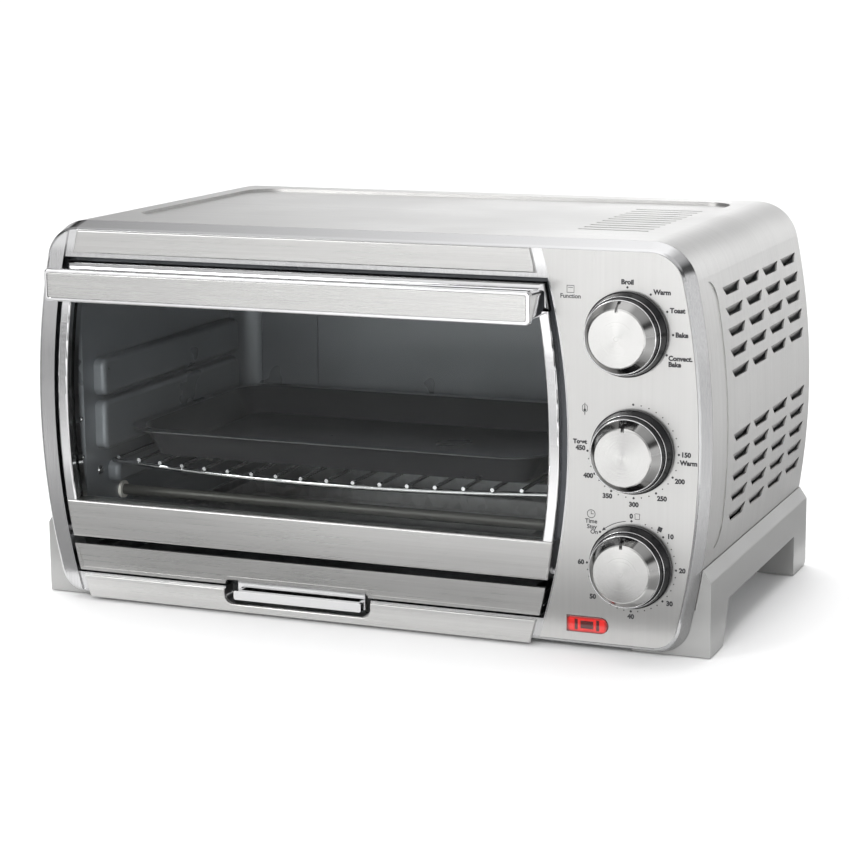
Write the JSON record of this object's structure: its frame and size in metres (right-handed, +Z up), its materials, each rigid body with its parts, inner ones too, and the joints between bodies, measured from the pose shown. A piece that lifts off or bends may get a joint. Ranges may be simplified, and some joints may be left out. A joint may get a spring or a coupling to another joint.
{
  "type": "toaster oven",
  "caption": "Countertop convection toaster oven with bowed steel body, drop-down glass door, bar handle, dial control panel, wire rack, baking pan, crumb tray and bracket feet.",
  "frame": {"origin": "on the floor under the middle of the whole, measured from the handle's front to the cord gland's back", "axes": "+Z up, +Y from the door towards the back, +X towards the control panel"},
  "size_m": [0.5, 0.315, 0.275],
  "materials": {
    "housing_steel": "brushed stainless sheet, grain upright on the sides",
    "cover_steel": "galvanised sheet",
    "bezel_metal": "satin and polished cast surround",
    "plate_steel": "fine horizontal brushing",
    "polished_metal": "bright polished",
    "pin_steel": "turned",
    "knob_metal": "turned with circular brushing",
    "knob_plastic": "black, semi gloss",
    "foot_plastic": "silver grey, satin",
    "black_plastic": "moulded",
    "red_lens": "clear red, glossy",
    "pad_rubber": "matt",
    "door_glass": "clear tempered",
    "liner_enamel": "dark grey baked enamel, satin",
    "heater_sheath": "dark oxidised tube",
    "insulator_ceramic": "unglazed white",
    "rack_wire": "chromed wire",
    "pan_enamel": "black non-stick",
    "tray_sheet": "plain sheet",
    "fan_metal": "plain stampings"
  },
  "bodies": {
    "root": {"outer_housing": "housing_steel", "rear_panel": "cover_steel", "cord_gland": "black_plastic", "base_pan": "cover_steel", "housing_screws": "cover_steel", "foot_right": "foot_plastic", "foot_left": "foot_plastic", "foot_pads": "pad_rubber", "front_bezel": "bezel_metal", "hinge_bushes": "knob_plastic", "top_rail_plate": "plate_steel", "bottom_rail_plate": "plate_steel", "control_panel": "plate_steel", "indicator_lens": "red_lens", "indicator_lamp": "black_plastic", "control_bracket": "cover_steel", "function_switch": "black_plastic", "thermostat": "black_plastic", "timer_body": "black_plastic", "timer_bell": "fan_metal", "terminal_block": "black_plastic", "heat_shield": "cover_steel", "tray_runners": "cover_steel", "cavity_left_wall": "liner_enamel", "cavity_right_wall": "liner_enamel", "cavity_roof": "liner_enamel", "cavity_floor": "liner_enamel", "cavity_back": "liner_enamel", "cavity_flange": "liner_enamel", "flange_rivets": "polished_metal", "upper_heaters": "heater_sheath", "lower_heaters": "heater_sheath", "heater_insulators": "insulator_ceramic", "thermostat_bulb": "rack_wire", "fan_guard": "rack_wire", "fan_motor": "fan_metal"},
    "door": {"door_glass": "door_glass", "door_bottom_bar": "plate_steel", "door_top_bar": "polished_metal", "door_side_rails": "polished_metal", "hinge_pins": "pin_steel", "handle_frame": "polished_metal", "handle_insert": "plate_steel", "handle_screws": "polished_metal"},
    "function_knob": {"function_knob_skirt": "knob_plastic", "function_knob_cap": "knob_metal", "function_knob_shaft": "pin_steel"},
    "temperature_knob": {"temperature_knob_skirt": "knob_plastic", "temperature_knob_cap": "knob_metal", "temperature_knob_shaft": "pin_steel"},
    "timer_knob": {"timer_knob_skirt": "knob_plastic", "timer_knob_cap": "knob_metal", "timer_knob_shaft": "pin_steel"},
    "tray": {"tray_front": "plate_steel", "tray_grip": "polished_metal", "crumb_tray": "tray_sheet"},
    "rack": {"wire_rack": "rack_wire", "baking_pan": "pan_enamel"},
    "fan": {"fan_impeller": "fan_metal", "fan_shaft": "pin_steel"}
  },
  "joints": [
    {"name": "door_hinge", "type": "hinge", "parent": "root", "child": "door", "pos_m": [-0.04, -0.1195, 0.052], "axis": [1, 0, 0], "range_deg": [0, 90]},
    {"name": "function_turn", "type": "hinge", "parent": "root", "child": "function_knob", "pos_m": [0.1955, -0.1275, 0.216], "axis": [0, 1, 0], "range_deg": [0, 125]},
    {"name": "temperature_turn", "type": "hinge", "parent": "root", "child": "temperature_knob", "pos_m": [0.2, -0.1275, 0.139], "axis": [0, 1, 0], "range_deg": [0, 270]},
    {"name": "timer_turn", "type": "hinge", "parent": "root", "child": "timer_knob", "pos_m": [0.1995, -0.1275, 0.062], "axis": [0, 1, 0], "range_deg": [-45, 270]},
    {"name": "tray_slide", "type": "slide", "parent": "root", "child": "tray", "axis": [0, -1, 0], "range_m": [0, 0.15]},
    {"name": "rack_slide", "type": "slide", "parent": "root", "child": "rack", "axis": [0, -1, 0], "range_m": [0, 0.076]},
    {"name": "fan_spin", "type": "hinge", "parent": "root", "child": "fan", "pos_m": [0.132, 0.0225, 0.158], "axis": [1, 0, 0], "continuous": true}
  ],
  "couplings": [
    {"joint": "rack_slide", "follows": "door_hinge", "m_per_rad": 0.0477}
  ]
}
